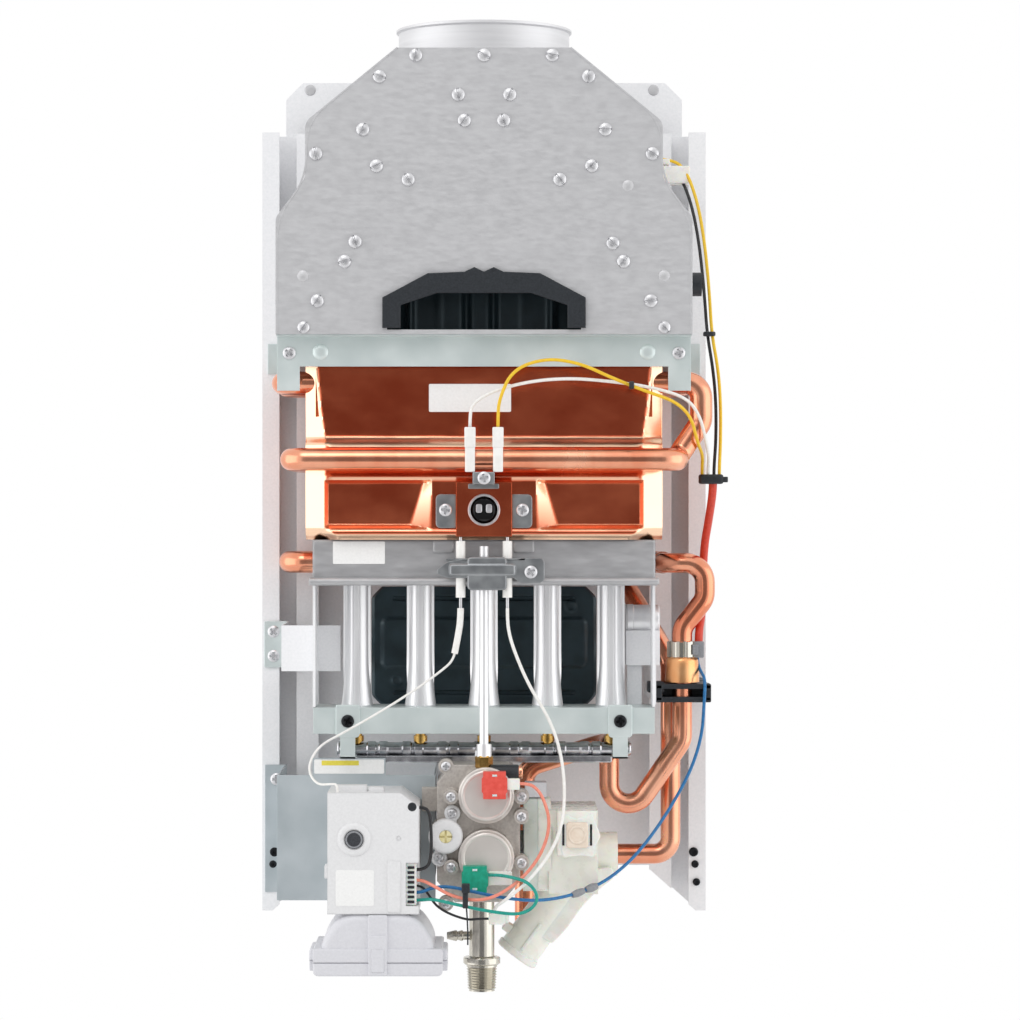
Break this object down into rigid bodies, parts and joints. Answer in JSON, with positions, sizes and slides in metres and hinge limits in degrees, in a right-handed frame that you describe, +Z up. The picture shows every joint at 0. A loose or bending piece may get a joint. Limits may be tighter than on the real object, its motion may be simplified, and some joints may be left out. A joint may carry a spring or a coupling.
{
  "type": "tankless gas water heater",
  "caption": "Wall-hung open-flue tankless gas water heater without its cover: draught hood, copper heat exchanger, burner, gas valve, water valve, control box and battery box.",
  "frame": {"origin": "midway between the two wall-screw holes, on the back panel's rear face", "axes": "+X to the heater's right as seen from the front, +Y into the wall, +Z up"},
  "size_m": [0.316, 0.1977, 0.65],
  "materials": {
    "painted_chassis": "satin powder coat",
    "galvanised_sheet": "galvanised",
    "aluminium_sheet": "satin",
    "black_moulding": "moulded",
    "zinc_passivated": "zinc plated",
    "copper": "heat tinted copper",
    "stainless": "plain",
    "dark_enamel": "dark coated steel",
    "ceramic": "glazed ceramic",
    "brass": "turned",
    "die_cast": "die cast",
    "nickel_plate": "nickel plated",
    "white_moulding": "moulded",
    "grey_moulding": "moulded",
    "dark_button": "moulded",
    "circuit_board": "laminate",
    "cell_jacket": "printed jacket",
    "red_plug": "moulded",
    "yellowish_nylon": "moulded",
    "natural_polyamide": "translucent",
    "insulated_lead": "insulated wire"
  },
  "bodies": {
    "heater": {"back_panel": "painted_chassis", "side_rail_left": "painted_chassis", "side_rail_right": "painted_chassis", "hood_front_plate": "galvanised_sheet", "hood_shell": "galvanised_sheet", "flue_collar": "aluminium_sheet", "opening_trim": "black_moulding", "draught_baffle": "galvanised_sheet", "spill_sensor": "black_moulding", "cross_rail": "zinc_passivated", "exchanger_shell": "copper", "fin_pack": "copper", "water_coil": "copper", "wrap_tube": "copper", "sight_plate": "copper", "sight_tabs": "zinc_passivated", "burner_frame": "galvanised_sheet", "burner_bars": "stainless", "mixing_tubes": "aluminium_sheet", "burner_shield": "dark_enamel", "electrode_bracket": "zinc_passivated", "electrode_insulators": "ceramic", "electrode_pins": "stainless", "pilot_tube": "aluminium_sheet", "manifold_rail": "aluminium_sheet", "manifold_tube": "aluminium_sheet", "injectors": "brass", "burner_bracket_left": "zinc_passivated", "burner_bracket_right": "zinc_passivated", "mounting_plate": "zinc_passivated", "control_box": "white_moulding", "circuit_board": "circuit_board", "battery_housing": "grey_moulding", "batteries": "cell_jacket", "battery_contacts": "stainless", "gas_valve_body": "die_cast", "gas_valve_covers": "die_cast", "solenoid_coils": "black_moulding", "valve_connectors": "red_plug", "adjuster_housing": "white_moulding", "poppet_spring": "stainless", "gas_inlet_pipe": "nickel_plate", "water_valve_body": "natural_polyamide", "water_valve_cover": "natural_polyamide", "microswitch": "black_moulding", "hot_pipe": "copper", "cold_pipe": "copper", "pipe_clamp": "black_moulding", "limit_thermostat": "nickel_plate", "pan_screws": "zinc_passivated", "upper_leads": "insulated_lead", "lower_leads": "insulated_lead"},
    "button": {"start_button": "dark_button"},
    "spindle": {"adjuster_spindle": "yellowish_nylon"},
    "selector": {"flow_selector": "yellowish_nylon"},
    "lid": {"battery_lid": "grey_moulding"},
    "pilot_valve": {"pilot_plunger": "die_cast"},
    "main_valve": {"main_plunger": "die_cast"},
    "water_rod": {"push_rod": "brass", "gas_poppet": "brass"}
  },
  "joints": [
    {"name": "button_press", "type": "slide", "parent": "heater", "child": "button", "axis": [0, 1, 0], "range_m": [0, 0.003], "stiffness_N_per_m": 600},
    {"name": "gas_adjuster_turn", "type": "hinge", "parent": "heater", "child": "spindle", "pos_m": [-0.0253, -0.165, -0.4876], "axis": [0, 1, 0], "range_deg": [0, 180]},
    {"name": "flow_selector_turn", "type": "hinge", "parent": "heater", "child": "selector", "pos_m": [0.0615, -0.168, -0.4855], "axis": [0, 1, 0], "range_deg": [0, 270]},
    {"name": "battery_lid_open", "type": "hinge", "parent": "heater", "child": "lid", "pos_m": [-0.0695, -0.121, -0.568], "axis": [1, 0, 0], "range_deg": [0, 95]},
    {"name": "pilot_plunger_lift", "type": "slide", "parent": "heater", "child": "pilot_valve", "axis": [0, -1, 0], "range_m": [0, 0.0025]},
    {"name": "main_plunger_lift", "type": "slide", "parent": "heater", "child": "main_valve", "axis": [0, -1, 0], "range_m": [0, 0.0025]},
    {"name": "water_rod_push", "type": "slide", "parent": "heater", "child": "water_rod", "axis": [-1, 0, 0], "range_m": [0, 0.003], "stiffness_N_per_m": 400, "deforming": ["poppet_spring"]}
  ]
}
